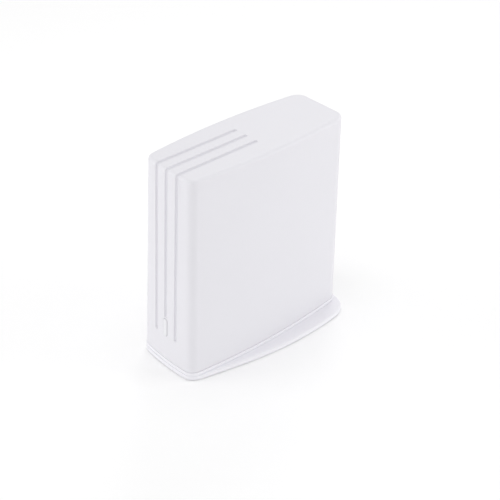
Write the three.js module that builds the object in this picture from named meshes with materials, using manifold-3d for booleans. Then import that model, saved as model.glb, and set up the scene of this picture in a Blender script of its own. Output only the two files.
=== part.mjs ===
// Upright cable modem on a leaf-shaped foot, in millimetres, +Z up, front facing -Y.
// A one-piece white cover stands on the foot. Inside it a plastic carrier holds the main board
// upright, and the board's sockets look out through a panel in the back of the cover.
import * as THREE from "three";
import { mergeVertices } from "three/addons/utils/BufferGeometryUtils.js";
import Module from "manifold-3d";

const wasm = await Module();
wasm.setup();

// ---- Driving dimensions ----

const TOTAL_HEIGHT = 220;
const SEAM_Z = 9.7; // lower edge of the cover
const SEAM_GAP = 0.5; // dark line between the cover and the foot
const FIT = 0.3; // clearance between a fixed piece and its neighbour

// Cover: a barrel-shaped plan that narrows and leans back as it rises
const BODY_LENGTH = 202.4;
const FRONT_HALF_WIDTH = 37;
const MIDDLE_HALF_WIDTH = 44.1;
const REAR_HALF_WIDTH = 36.5;
const FRONT_BOW = 2.75;
const FRONT_CORNER = 7.3;
const REAR_CORNER = 11.7;
const SIDE_DRAFT = 0.0005; // share of the width lost per millimetre of height
const FRONT_LEAN = 0.0547;
const REAR_LEAN = 0.021;
const TOP_FILLET = 3.8;
const COVER_WALL = 2.4;

// Three grooves up the front and over the top, and the light bar under the middle one
const GROOVE_PITCH = 14.5;
const GROOVE_RADIUS = 1.95;
const GROOVE_SUNK = 0.25; // depth of the groove's centre under the surface
const GROOVE_BACKING = 1.5;
const GROOVE_LOW_Z = 38.8;
const GROOVE_ON_TOP = 105.8; // from the front, at the seam, to the far end of a groove
const BAR_WIDTH = 5.2;
const BAR_LENGTH = 20;
const BAR_PROUD = 0.8; // how far the bar stands out of the front face
const BAR_GAP = 0.5;
const BAR_BRIDGE = 1.4; // cover left between the middle groove and the light bar

// Foot: a plinth under the cover, on a leaf that spreads behind it
const FOOT_MARGIN = 1.3; // how far the leaf's nose and tail reach past the cover
const FOOT_HALF_WIDTH = 59.2;
const FOOT_FRONT_HALF_WIDTH = 41.5;
const FOOT_REAR_HALF_WIDTH = 55.8;
const FOOT_WIDEST = 0.6473; // share of the foot's length in front of its widest place
const FOOT_CORNER = 17.7; // depth of the rounded front corners
const FOOT_CORNER_WIDTH = 12.5;
const FOOT_REAR_CORNER = 20.3;
const FOOT_REAR_CORNER_WIDTH = 25.8;
const LEAF_BOTTOM_Z = 0.8;
const LEAF_TOP_Z = 5.8;
const LEAF_ROUND = 2.6;
const PLINTH_REVEAL = 0.6;
const PLINTH_ROUND = 1;
const FOOT_WALL = 4;
const LEAF_ROOF = 2.4;
const PLINTH_ROOF = 2;
const BASE_PLATE_THICKNESS = 1.6;
const BASE_PLATE_SUNK = 0.2;

// Feet and fasteners
const RUBBER_RADIUS = 6;
const RUBBER_HEIGHT = 1.2;
const RUBBER_SUNK = 0.4;
const RUBBER_INSET = 13; // distance of a rubber foot's centre from the edge of the leaf
const RUBBER_FROM_NOSE = 31;
const RUBBER_FROM_TAIL = 20;
const SCREW_SHANK_RADIUS = 1.4;
const SCREW_HEAD_RADIUS = 3;
const SCREW_HEAD_HEIGHT = 1.9;
const SCREW_BITE = 9; // length of screw inside a boss
const BOSS_RADIUS = 3.6;
const BOSS_HEIGHT = 12;
const COVER_BOSS_FROM_END = 13;
const CARRIER_BOSS_FROM_REAR = 50;
const CARRIER_BOSS_FROM_FRONT = 62.4;

// Main board and carrier
const BOARD_FACE_X = -8;
const BOARD_THICKNESS = 1.6;
const BOARD_LOW = 14; // height of the board's lower edge above the seam
const BOARD_TOP_ROOM = 20; // from the board's upper edge to the top of the cover
const BOARD_FRONT_ROOM = 7;
const STANDOFF = 4;
const CARRIER_THICKNESS = 2.4;
const CARRIER_BORDER = 12;
const CARRIER_FLANGE_WIDTH = 22;
const BOARD_SCREW_INSET = 8;
const BOARD_SCREW_BEFORE_SOCKETS = 5.6;

// Rear panel, and the height of each socket above the seam
const PANEL_HALF_WIDTH = 18;
const PANEL_SUNK = 0.5;
const PANEL_LOW = 9;
const PANEL_TOP_ROOM = 16;
const PANEL_THICKNESS = 1.6; // of the lip that bears on the inside of the cover
const PANEL_LIP = 1.6; // how far the lip reaches past the window
const SOCKET_SUNK = 0.8;
const JACK_RISE = 13.4; // how far a data socket stands up from the board
const LAN_JACK_WIDTH = 16;
const LAN_JACK_DEPTH = 21;
const LAN_CAVITY_WIDTH = 11.9;
const PHONE_JACK_WIDTH = 13.2;
const PHONE_JACK_DEPTH = 18;
const PHONE_CAVITY_WIDTH = 9.9;
const COAX_AT = 26;
const COAX_REACH = 9;
const POWER_AT = 46;
const SWITCH_AT = 64;
const FIRST_PHONE_AT = 84;
const PHONE_PITCH = 15;
const FIRST_LAN_AT = 117;
const LAN_PITCH = 18;
const RESET_AT = 149.5;
const VENT_AT = 158;
const VENT_PITCH = 5;
const VENT_HEIGHT = 2;
const VENT_WIDTH = 26;
const ROCKER_TILT = 8; // degrees each side of level
const RESET_TRAVEL = 0.4;

// Places worked out from them
const COAX_END = BODY_LENGTH + COAX_REACH + REAR_LEAN * COAX_AT; // from the front of the cover
const BODY_FRONT = -(COAX_END - FOOT_MARGIN) / 2;
const BODY_REAR = BODY_FRONT + BODY_LENGTH;
const FOOT_NOSE_Y = BODY_FRONT - FOOT_MARGIN;
const FOOT_TAIL_Y = BODY_REAR + FOOT_MARGIN;
const PLINTH_TOP_Z = SEAM_Z - SEAM_GAP;
const BOARD_HIGH = TOTAL_HEIGHT - SEAM_Z - BOARD_TOP_ROOM;
const PANEL_HIGH = TOTAL_HEIGHT - SEAM_Z - PANEL_TOP_ROOM;
const PANEL_BACK = -COVER_WALL - FIT - PANEL_THICKNESS;
const BOARD_REAR = PANEL_BACK - 2 * FIT;
const BOARD_FRONT = -(
  BODY_LENGTH -
  (FRONT_LEAN - REAR_LEAN) * BOARD_HIGH -
  COVER_WALL -
  FRONT_BOW -
  BOARD_FRONT_ROOM
);

// ---- Scene graph: three frames ----

const modem = new THREE.Group();

// The rear frame lies on the back of the cover: y = 0 is its outer face and z climbs along it.
const rearFrame = new THREE.Group();
rearFrame.position.set(0, BODY_REAR, SEAM_Z);
rearFrame.rotation.x = -Math.atan(REAR_LEAN);
modem.add(rearFrame);

// The front frame lies on the middle of the front face in the same way.
const frontFrame = new THREE.Group();
frontFrame.position.set(0, BODY_FRONT, SEAM_Z);
frontFrame.rotation.x = -Math.atan(FRONT_LEAN);
modem.add(frontFrame);
modem.updateMatrixWorld(true);

// ---- Geometry helpers ----

function toSolid(geometry) {
  const bare = geometry.index ? geometry.toNonIndexed() : geometry.clone();
  bare.deleteAttribute("normal");
  bare.deleteAttribute("uv");
  const merged = mergeVertices(bare, 1e-4);
  const vertProperties = merged.attributes.position.array;
  const triVerts = new Uint32Array(merged.index.array);
  return new wasm.Manifold(new wasm.Mesh({ numProp: 3, vertProperties, triVerts }));
}

function toGeometry(solid) {
  const mesh = solid.getMesh();
  const geometry = new THREE.BufferGeometry();
  geometry.setAttribute("position", new THREE.BufferAttribute(mesh.vertProperties, 3));
  geometry.setIndex(new THREE.BufferAttribute(mesh.triVerts, 1));
  geometry.computeVertexNormals();
  return geometry;
}

function cut(base, ...tools) {
  return toGeometry(tools.reduce((solid, tool) => solid.subtract(toSolid(tool)), toSolid(base)));
}

function join(first, ...others) {
  return toGeometry(others.reduce((solid, other) => solid.add(toSolid(other)), toSolid(first)));
}

function box(x, y, z) {
  const size = [x, y, z].map(([low, high]) => high - low);
  const middle = [x, y, z].map(([low, high]) => (low + high) / 2);
  return new THREE.BoxGeometry(...size).translate(...middle);
}

// A round bar between two points
function rod(radius, from, to, sides = 16) {
  const start = new THREE.Vector3(...from);
  const along = new THREE.Vector3(...to).sub(start);
  const turn = new THREE.Quaternion().setFromUnitVectors(
    new THREE.Vector3(0, 1, 0),
    along.clone().normalize(),
  );
  return new THREE.CylinderGeometry(radius, radius, along.length(), sides)
    .applyQuaternion(turn)
    .translate(...start.addScaledVector(along, 0.5).toArray());
}

// An outline extruded upwards, with its upper edge rounded
function slab(shape, low, high, round = 0) {
  if (round === 0) {
    const plain = { depth: high - low, bevelEnabled: false };
    return new THREE.ExtrudeGeometry(shape, plain).translate(0, 0, low);
  }
  const options = {
    depth: high - low,
    bevelThickness: round,
    bevelSize: round,
    bevelOffset: -round,
    bevelSegments: 3,
  };
  const rounded = new THREE.ExtrudeGeometry(shape, options).translate(0, 0, low - round);
  const far = 4 * BODY_LENGTH;
  return cut(rounded, box([-far, far], [-far, far], [low - far, low]));
}

// A bar with half-round ends, upright in the XZ plane and extruded along Y
function uprightBar(width, z, y) {
  const radius = width / 2;
  const outline = new THREE.Shape();
  outline.absarc(0, z[1] - radius, radius, 0, Math.PI);
  outline.absarc(0, z[0] + radius, radius, Math.PI, 2 * Math.PI);
  const options = { depth: y[1] - y[0], bevelEnabled: false, curveSegments: 8 };
  return new THREE.ExtrudeGeometry(outline, options).rotateX(Math.PI / 2).translate(0, y[1], 0);
}

// A turned piece: its profile is a list of [radius, distance along the axis]
function turned(profile, sides) {
  const points = profile.map(([radius, along]) => new THREE.Vector2(radius, along));
  return new THREE.LatheGeometry(points, sides);
}

// The same geometry, moved out of a frame into the part's own axes
function outOf(frame, geometry) {
  return geometry.clone().applyMatrix4(frame.matrixWorld);
}

// An outline moved inwards by a distance, square to its own edge
function insetOutline(shape, distance, divisions = 6) {
  const points = shape.getPoints(divisions);
  if (points[0].distanceTo(points.at(-1)) < 1e-6) points.pop();
  const moved = points.map((point, i) => {
    const before = points.at(i - 1);
    const after = points[(i + 1) % points.length];
    const into = point.clone().sub(before).normalize();
    const out = after.clone().sub(point).normalize();
    const along = into.clone().add(out).normalize();
    const mitre = distance / along.dot(out);
    return new THREE.Vector2(point.x - along.y * mitre, point.y + along.x * mitre);
  });
  return new THREE.Shape(moved);
}

function addPart(parent, name, geometry, finish) {
  const mesh = new THREE.Mesh(geometry, finish);
  mesh.name = name;
  parent.add(mesh);
  return mesh;
}

function finish(color, roughness, metalness = 0) {
  return new THREE.MeshStandardMaterial({ color, roughness, metalness });
}

const whiteShell = finish(0xe9e9ee, 0.55);
const whiteFoot = finish(0xe4e4e8, 0.55);
const whitePanel = finish(0xe2e2e6, 0.6);
const innerPlastic = finish(0xc9cacd, 0.7);
const lightPlastic = finish(0xdfe2e6, 0.25);
const rubber = finish(0x55575a, 0.9);
const steel = finish(0x9a9da1, 0.35, 1);
const nickel = finish(0xb9bbbd, 0.25, 1);
const gold = finish(0xd2ab55, 0.3, 1);
const tinPlate = finish(0xa8abae, 0.4, 1);
const aluminium = finish(0xb4b7ba, 0.45, 1);
const boardGreen = finish(0x1f5a3a, 0.55);
const chipBlack = finish(0x1d1e20, 0.5);
const jackBlack = finish(0x232426, 0.5);
const jackGrey = finish(0x8c8f93, 0.55);
const padGrey = finish(0x6f8fa5, 0.9);
const ledClear = finish(0xeef1e6, 0.3);
const coreGrey = finish(0x3a3b3e, 0.75);
const ptfe = finish(0xf2f1ec, 0.4);

// ---- Cover: one moulding, open at the bottom and with a window at the back ----

// Half the cover's width at a share of its depth, at the seam
function halfWidth(share) {
  const nearFront = FRONT_HALF_WIDTH * (1 - share) * (1 - 2 * share);
  const nearMiddle = MIDDLE_HALF_WIDTH * 4 * share * (1 - share);
  const nearRear = REAR_HALF_WIDTH * share * (2 * share - 1);
  return nearFront + nearMiddle + nearRear;
}

function coverOutline() {
  const round = 0.5523; // handle length that makes a cubic curve a quarter circle
  const frontX = FRONT_HALF_WIDTH - FRONT_CORNER;
  const bow = FRONT_BOW * (frontX / FRONT_HALF_WIDTH) ** 2;
  const sideFront = FRONT_BOW + FRONT_CORNER;
  const sideRear = BODY_LENGTH - REAR_CORNER;
  const rearX = REAR_HALF_WIDTH - REAR_CORNER;
  const shares = [sideFront / BODY_LENGTH, sideRear / BODY_LENGTH];
  const [frontWidth, rearWidth] = shares.map(halfWidth);
  const step = 1e-4;
  const slope = (halfWidth(shares[0] + step) - halfWidth(shares[0])) / step;
  const bulge = frontWidth + (slope * (shares[1] - shares[0])) / 2;
  const side = (sideFront + sideRear) / 2;

  const outline = new THREE.Shape();
  const y = (distance) => BODY_FRONT + distance;
  const frontHandle = [frontX + round * FRONT_CORNER, y(bow + 0.2 * FRONT_BOW)];
  outline.moveTo(-frontX, y(bow));
  outline.quadraticCurveTo(0, y(-bow), frontX, y(bow));
  outline.bezierCurveTo(
    frontHandle[0], frontHandle[1],
    frontWidth - slope * (FRONT_CORNER / BODY_LENGTH) * round, y(sideFront - round * FRONT_CORNER),
    frontWidth, y(sideFront),
  );
  outline.quadraticCurveTo(bulge, y(side), rearWidth, y(sideRear));
  outline.bezierCurveTo(
    REAR_HALF_WIDTH, y(sideRear + round * REAR_CORNER),
    rearX + round * REAR_CORNER, y(BODY_LENGTH),
    rearX, y(BODY_LENGTH),
  );
  outline.lineTo(-rearX, y(BODY_LENGTH));
  outline.bezierCurveTo(
    -rearX - round * REAR_CORNER, y(BODY_LENGTH),
    -REAR_HALF_WIDTH, y(sideRear + round * REAR_CORNER),
    -rearWidth, y(sideRear),
  );
  outline.quadraticCurveTo(-bulge, y(side), -frontWidth, y(sideFront));
  outline.bezierCurveTo(
    -frontWidth + slope * (FRONT_CORNER / BODY_LENGTH) * round, y(sideFront - round * FRONT_CORNER),
    -frontHandle[0], frontHandle[1],
    -frontX, y(bow),
  );
  return outline;
}

// Narrows a straight block of the plan as it rises, and leans its front and back
function narrowAndLean(geometry) {
  const points = geometry.getAttribute("position");
  for (let i = 0; i < points.count; i += 1) {
    const rise = points.getZ(i) - SEAM_Z;
    const share = (points.getY(i) - BODY_FRONT) / BODY_LENGTH;
    const lean = FRONT_LEAN * (1 - share) + REAR_LEAN * share;
    points.setX(i, points.getX(i) * (1 - SIDE_DRAFT * rise));
    points.setY(i, points.getY(i) + rise * lean);
  }
  return geometry;
}

// Place on the front face, at a distance from the middle and a height
function frontSurfaceY(x, z) {
  return BODY_FRONT + FRONT_BOW * (x / FRONT_HALF_WIDTH) ** 2 + FRONT_LEAN * (z - SEAM_Z);
}

// A path through listed points, so that an extrusion has one ring at each
class Route extends THREE.Curve {
  constructor(points) {
    super();
    this.points = points;
  }
  getPoint(share) {
    const place = Math.min(Math.max(share, 0), 1) * (this.points.length - 1);
    const first = Math.min(Math.floor(place), this.points.length - 2);
    return this.points[first].clone().lerp(this.points[first + 1], place - first);
  }
  getPointAt(share) {
    return this.getPoint(share);
  }
  getTangentAt(share) {
    const near = 0.25 / (this.points.length - 1);
    return this.getPoint(share + near).sub(this.getPoint(share - near)).normalize();
  }
}

// The round-bottomed groove at one distance from the middle, as a bent rod with round ends
function groove(x, radius, lowZ, sides) {
  const sunk = GROOVE_SUNK;
  const turn = TOP_FILLET + 0.8;
  const topY = frontSurfaceY(x, TOTAL_HEIGHT) + sunk;
  const topZ = TOTAL_HEIGHT - sunk;
  const low = new THREE.Vector3(x, frontSurfaceY(x, lowZ) + sunk, lowZ);
  const corner = new THREE.QuadraticBezierCurve3(
    new THREE.Vector3(x, topY - FRONT_LEAN * turn, topZ - turn),
    new THREE.Vector3(x, topY, topZ),
    new THREE.Vector3(x, topY + turn, topZ),
  );
  const back = new THREE.Vector3(x, BODY_FRONT + GROOVE_ON_TOP, topZ);
  const route = new Route([low, ...corner.getPoints(4), back]);
  const section = new THREE.Shape().absarc(0, 0, radius, 0, 2 * Math.PI);
  const steps = route.points.length - 1;
  const options = { steps, curveSegments: sides, bevelEnabled: false, extrudePath: route };
  const ends = [low, back].map((end) =>
    new THREE.SphereGeometry(radius * 0.999, sides, 8).translate(end.x, end.y, end.z),
  );
  return join(new THREE.ExtrudeGeometry(section, options), ...ends);
}

const outline = coverOutline();
const below = 6; // how far a tool runs past the edge it cuts through
const outerBlock = narrowAndLean(slab(insetOutline(outline, 0), SEAM_Z, TOTAL_HEIGHT, TOP_FILLET));
const innerBlock = narrowAndLean(
  slab(insetOutline(outline, COVER_WALL), SEAM_Z - below, TOTAL_HEIGHT - COVER_WALL, 1),
);

const barZ = [GROOVE_LOW_Z - GROOVE_RADIUS, GROOVE_LOW_Z - GROOVE_RADIUS + BAR_LENGTH];
const middleGrooveLow = barZ[1] + BAR_BRIDGE + GROOVE_RADIUS;
const grooves = [
  [-GROOVE_PITCH, GROOVE_LOW_Z],
  [0, middleGrooveLow],
  [GROOVE_PITCH, GROOVE_LOW_Z],
];
const grooveCuts = grooves.map(([x, lowZ]) => groove(x, GROOVE_RADIUS, lowZ, 12));
const backings = grooves.map(([x, lowZ]) => groove(x, GROOVE_RADIUS + GROOVE_BACKING, lowZ, 8));
const cavity = cut(innerBlock, ...backings);

const barSlotZ = [barZ[0] - SEAM_Z - BAR_GAP, barZ[1] - SEAM_Z + BAR_GAP];
const barSlot = uprightBar(BAR_WIDTH + 2 * BAR_GAP, barSlotZ, [-below, below]);

const windowHalfWidth = PANEL_HALF_WIDTH + FIT;
const rearWindow = box(
  [-windowHalfWidth, windowHalfWidth],
  [-COVER_WALL - 1, below],
  [PANEL_LOW, PANEL_HIGH],
);

// Two screw bosses, each tied to its end wall by a web
function coverBoss(y, wallY) {
  const webHigh = SEAM_Z + PANEL_LOW - PANEL_LIP - 2 * FIT;
  const pillar = rod(BOSS_RADIUS, [0, y, PLINTH_TOP_Z + FIT], [0, y, SEAM_Z + BOSS_HEIGHT], 20);
  const web = box([-1, 1], [Math.min(y, wallY), Math.max(y, wallY)], [SEAM_Z, webHigh]);
  return join(pillar, web);
}

const frontBossY = BODY_FRONT + COVER_BOSS_FROM_END;
const rearBossY = BODY_REAR - COVER_BOSS_FROM_END;
const hollow = cut(outerBlock, cavity, ...grooveCuts, outOf(frontFrame, barSlot));
const coverBosses = [
  coverBoss(frontBossY, BODY_FRONT + COVER_WALL * 0.75),
  coverBoss(rearBossY, BODY_REAR - COVER_WALL * 0.5),
];
const bossPassages = [frontBossY, rearBossY].map((y) =>
  rod(SCREW_SHANK_RADIUS + FIT, [0, y, 0], [0, y, SEAM_Z + BOSS_HEIGHT - 1.5], 12),
);
const cover = cut(join(cut(hollow, outOf(rearFrame, rearWindow)), ...coverBosses), ...bossPassages);
addPart(modem, "housing_cover", cover, whiteShell);

// ---- Foot, closed underneath by the base plate ----

// Each curve leaves and meets its ends along handles given as shares of its own run.
function footOutline() {
  const cornerX = FOOT_FRONT_HALF_WIDTH - FOOT_CORNER_WIDTH;
  const cornerY = FOOT_NOSE_Y + FOOT_CORNER;
  const bow = FRONT_BOW * (cornerX / FRONT_HALF_WIDTH) ** 2;
  const widestY = FOOT_NOSE_Y + FOOT_WIDEST * (FOOT_TAIL_Y - FOOT_NOSE_Y);
  const rearY = FOOT_TAIL_Y - FOOT_REAR_CORNER;
  const wing = FOOT_HALF_WIDTH - FOOT_FRONT_HALF_WIDTH;
  const wingRun = widestY - cornerY;
  const tailWing = FOOT_HALF_WIDTH - FOOT_REAR_HALF_WIDTH;
  const tailRun = rearY - widestY;
  const half = [
    [cornerX, FOOT_NOSE_Y + bow],
    [cornerX + 0.48 * FOOT_CORNER_WIDTH, FOOT_NOSE_Y + bow + 0.07 * FOOT_CORNER,
      cornerX + 0.85 * FOOT_CORNER_WIDTH, FOOT_NOSE_Y + 0.5 * FOOT_CORNER],
    [FOOT_FRONT_HALF_WIDTH, cornerY],
    [FOOT_FRONT_HALF_WIDTH + 0.5 * wing, cornerY + 0.33 * wingRun,
      FOOT_HALF_WIDTH, widestY - 0.365 * wingRun],
    [FOOT_HALF_WIDTH, widestY],
    [FOOT_HALF_WIDTH, widestY + 0.385 * tailRun,
      FOOT_REAR_HALF_WIDTH + 0.65 * tailWing, rearY - 0.23 * tailRun],
    [FOOT_REAR_HALF_WIDTH, rearY],
    [FOOT_REAR_HALF_WIDTH - 0.09 * FOOT_REAR_CORNER_WIDTH, rearY + 0.59 * FOOT_REAR_CORNER,
      FOOT_REAR_HALF_WIDTH - 0.457 * FOOT_REAR_CORNER_WIDTH, FOOT_TAIL_Y],
    [FOOT_REAR_HALF_WIDTH - FOOT_REAR_CORNER_WIDTH, FOOT_TAIL_Y],
  ];
  const shape = new THREE.Shape();
  shape.moveTo(-cornerX, FOOT_NOSE_Y + bow);
  shape.quadraticCurveTo(0, FOOT_NOSE_Y - bow, cornerX, FOOT_NOSE_Y + bow);
  for (let i = 1; i < half.length; i += 2) shape.bezierCurveTo(...half[i], ...half[i + 1]);
  shape.lineTo(-half.at(-1)[0], FOOT_TAIL_Y);
  for (let i = half.length - 2; i > 0; i -= 2) {
    const [x1, y1, x2, y2] = half[i];
    const [endX, endY] = half[i - 1];
    shape.bezierCurveTo(-x2, y2, -x1, y1, -endX, endY);
  }
  return shape;
}

const leafOutline = insetOutline(footOutline(), 0);
const plinthOutline = insetOutline(outline, -PLINTH_REVEAL);
const leafPocketHigh = LEAF_TOP_Z - LEAF_ROOF;
const plinthPocketHigh = PLINTH_TOP_Z - PLINTH_ROOF;
const basePlateLow = LEAF_BOTTOM_Z + BASE_PLATE_SUNK;
const screwSeatZ = basePlateLow + SCREW_HEAD_HEIGHT + 2 * FIT;
const carrierBossY = [BODY_REAR - CARRIER_BOSS_FROM_REAR, BODY_FRONT + CARRIER_BOSS_FROM_FRONT];
const carrierBossX = BOARD_FACE_X + 6;
const screwPlaces = [
  [0, frontBossY],
  [0, rearBossY],
  ...carrierBossY.map((y) => [carrierBossX, y]),
];

const leaf = slab(leafOutline, LEAF_BOTTOM_Z, LEAF_TOP_Z, LEAF_ROUND);
const plinth = slab(plinthOutline, LEAF_BOTTOM_Z + 1, PLINTH_TOP_Z, PLINTH_ROUND);
const leafPocket = slab(insetOutline(leafOutline, FOOT_WALL), -1, leafPocketHigh);
const plinthPocket = slab(
  insetOutline(plinthOutline, FOOT_WALL + 1),
  leafPocketHigh - 1,
  plinthPocketHigh,
);
const columns = screwPlaces.map(([x, y]) =>
  rod(BOSS_RADIUS + 1.4, [x, y, screwSeatZ], [x, y, PLINTH_TOP_Z - 1], 20),
);
const shankHoles = screwPlaces.map(([x, y]) =>
  rod(SCREW_SHANK_RADIUS + FIT + 0.1, [x, y, 0], [x, y, PLINTH_TOP_Z + 1], 12),
);
const footPockets = cut(join(leafPocket, plinthPocket), ...columns);
addPart(modem, "foot", cut(join(leaf, plinth), footPockets, ...shankHoles), whiteFoot);

// Under the foot the plate fills the leaf's pocket; the rubber feet sit in shallow seats in it.
const frontRubberX = FOOT_FRONT_HALF_WIDTH + 2.6 - RUBBER_INSET;
const rearRubberX = FOOT_REAR_HALF_WIDTH - 4.6 - RUBBER_INSET;
const rubberPlaces = [
  [-frontRubberX, FOOT_NOSE_Y + RUBBER_FROM_NOSE],
  [frontRubberX, FOOT_NOSE_Y + RUBBER_FROM_NOSE],
  [-rearRubberX, FOOT_TAIL_Y - RUBBER_FROM_TAIL],
  [rearRubberX, FOOT_TAIL_Y - RUBBER_FROM_TAIL],
];
const rubberSeatZ = basePlateLow + RUBBER_SUNK;
const platePocket = insetOutline(leafOutline, FOOT_WALL + FIT);
const plateSlab = slab(platePocket, basePlateLow, basePlateLow + BASE_PLATE_THICKNESS);
const headHoles = screwPlaces.map(([x, y]) =>
  rod(SCREW_HEAD_RADIUS + 2 * FIT, [x, y, 0], [x, y, SEAM_Z], 20),
);
const rubberSeats = rubberPlaces.map(([x, y]) =>
  rod(RUBBER_RADIUS + FIT, [x, y, 0], [x, y, rubberSeatZ], 28),
);
const basePlate = cut(plateSlab, ...headHoles, ...rubberSeats);
addPart(modem, "foot_base_plate", basePlate, innerPlastic);

rubberPlaces.forEach(([x, y], i) => {
  const pad = turned(
    [[0, 0], [RUBBER_RADIUS - 0.4, 0], [RUBBER_RADIUS, 0.4], [RUBBER_RADIUS, RUBBER_HEIGHT - FIT],
      [0, RUBBER_HEIGHT - FIT]],
    28,
  ).rotateX(Math.PI / 2);
  addPart(modem, `rubber_foot_${i + 1}`, pad, rubber).position.set(x, y, 0);
});

// ---- Screws ----

// A pan-head screw pointing up: z = 0 is the seat under its head
function panHeadScrew(headRadius, headHeight, shankRadius, length) {
  const body = turned(
    [[0, -headHeight], [headRadius - 0.6, -headHeight], [headRadius, 0.5 - headHeight],
      [headRadius, 0], [shankRadius, 0], [shankRadius, length - shankRadius], [0, length]],
    16,
  ).rotateX(Math.PI / 2);
  const reach = headRadius * 0.6;
  const slotZ = [-headHeight - 1, 0.9 - headHeight];
  const across = box([-reach, reach], [-0.35, 0.35], slotZ);
  const along = box([-0.35, 0.35], [-reach, reach], slotZ);
  return cut(body, across, along);
}

const footScrewLength = PLINTH_TOP_Z - screwSeatZ + FIT + SCREW_BITE;
screwPlaces.forEach(([x, y], i) => {
  const screw = panHeadScrew(
    SCREW_HEAD_RADIUS,
    SCREW_HEAD_HEIGHT,
    SCREW_SHANK_RADIUS,
    footScrewLength,
  );
  addPart(modem, `foot_screw_${i + 1}`, screw, steel).position.set(x, y, screwSeatZ - FIT);
});

// ---- Carrier: an open frame that stands on the plinth and holds the board ----

const boardBackX = BOARD_FACE_X - BOARD_THICKNESS;
const carrierFaceX = boardBackX - STANDOFF;
const carrierX = [carrierFaceX - CARRIER_THICKNESS, carrierFaceX];
const frameRear = BOARD_REAR - 4;
const frameFront = BOARD_FRONT + 2;
const crossY = (frameRear + frameFront) / 2;
const frameLow = BOARD_LOW + CARRIER_BORDER;
const frameHigh = BOARD_HIGH - CARRIER_BORDER;
const boardScrewPlaces = [
  [-SOCKET_SUNK - LAN_JACK_DEPTH - BOARD_SCREW_BEFORE_SOCKETS, BOARD_HIGH - BOARD_SCREW_INSET],
  [BOARD_FRONT + BOARD_SCREW_INSET, BOARD_HIGH - BOARD_SCREW_INSET],
  [BOARD_FRONT + BOARD_SCREW_INSET, BOARD_LOW + BOARD_SCREW_INSET],
  [BOARD_REAR - 68, BOARD_LOW + BOARD_SCREW_INSET - 1],
];

const frameOpenings = [
  [frameFront + CARRIER_BORDER, crossY - CARRIER_BORDER / 2],
  [crossY + CARRIER_BORDER / 2, frameRear - CARRIER_BORDER],
].map((y) => box([carrierX[0] - 1, carrierX[1] + 1], y, [frameLow, frameHigh]));
const standoffs = boardScrewPlaces.map(([y, z]) =>
  rod(BOSS_RADIUS - 0.4, [carrierFaceX - 1, y, z], [boardBackX - FIT, y, z], 16),
);
const boardPilots = boardScrewPlaces.map(([y, z]) =>
  rod(SCREW_SHANK_RADIUS + FIT, [carrierX[0] - 1, y, z], [boardBackX, y, z], 12),
);
const framePlate = cut(
  join(box(carrierX, [frameFront, frameRear], [3, BOARD_HIGH]), ...standoffs),
  ...frameOpenings,
  ...boardPilots,
);

const flangeLow = PLINTH_TOP_Z + FIT;
const flangeY = [carrierBossY[1] - 12, carrierBossY[0] + 12];
const flangeX = [carrierX[0], carrierX[0] + CARRIER_FLANGE_WIDTH];
const flange = box(flangeX, flangeY, [flangeLow, flangeLow + CARRIER_THICKNESS]);
const skirt = box(carrierX, flangeY, [flangeLow, flangeLow + 9]);
const carrierBosses = carrierBossY.map((y) =>
  rod(BOSS_RADIUS, [carrierBossX, y, flangeLow], [carrierBossX, y, SEAM_Z + BOSS_HEIGHT], 20),
);
const carrierBores = carrierBossY.map((y) =>
  rod(
    SCREW_SHANK_RADIUS + FIT,
    [carrierBossX, y, 0],
    [carrierBossX, y, SEAM_Z + BOSS_HEIGHT - 1.5],
    12,
  ),
);
const carrier = cut(
  join(outOf(rearFrame, framePlate), skirt, flange, ...carrierBosses),
  ...carrierBores,
);
addPart(modem, "board_carrier", carrier, innerPlastic);

// ---- Main board and what is soldered to it; x counts from the board's face ----

const boardFrame = new THREE.Group();
boardFrame.position.x = BOARD_FACE_X;
rearFrame.add(boardFrame);

const boardHoles = boardScrewPlaces.map(([y, z]) =>
  rod(SCREW_SHANK_RADIUS + FIT, [-BOARD_THICKNESS - 1, y, z], [1, y, z], 12),
);
const boardBlank = box(
  [-BOARD_THICKNESS, 0],
  [BOARD_FRONT, BOARD_REAR],
  [BOARD_LOW, BOARD_HIGH],
);
addPart(boardFrame, "main_board", cut(boardBlank, ...boardHoles), boardGreen);

boardScrewPlaces.forEach(([y, z], i) => {
  const screw = panHeadScrew(2.6, 1.6, SCREW_SHANK_RADIUS, 7).rotateY(-Math.PI / 2);
  addPart(boardFrame, `board_screw_${i + 1}`, screw, steel).position.set(FIT, y, z);
});

// Processor, the pad that carries its heat, and the finned heat sink
const sinkY = [-114, -70];
const sinkZ = [90, 134];
const middleOf = ([low, high]) => (low + high) / 2;
const around = (centre, size) => [centre - size / 2, centre + size / 2];
const processorX = [FIT, FIT + 2.4];
const padX = [processorX[1] + FIT, processorX[1] + FIT + 1];
const sinkX = [padX[1] + FIT, padX[1] + FIT + 3];
const finHeight = 14;
const finCount = 9;
const finThickness = 1.4;

addPart(
  boardFrame,
  "modem_processor",
  box(processorX, around(middleOf(sinkY), 27), around(middleOf(sinkZ), 27)),
  chipBlack,
);
addPart(
  boardFrame,
  "thermal_pad",
  box(padX, around(middleOf(sinkY), 24), around(middleOf(sinkZ), 24)),
  padGrey,
);
const fins = Array.from({ length: finCount }, (_, i) => {
  const step = (sinkY[1] - sinkY[0] - finThickness) / (finCount - 1);
  const y = sinkY[0] + i * step;
  return box([sinkX[1] - 1, sinkX[1] + finHeight], [y, y + finThickness], sinkZ);
});
addPart(boardFrame, "heat_sink", join(box(sinkX, sinkY, sinkZ), ...fins), aluminium);

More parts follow.
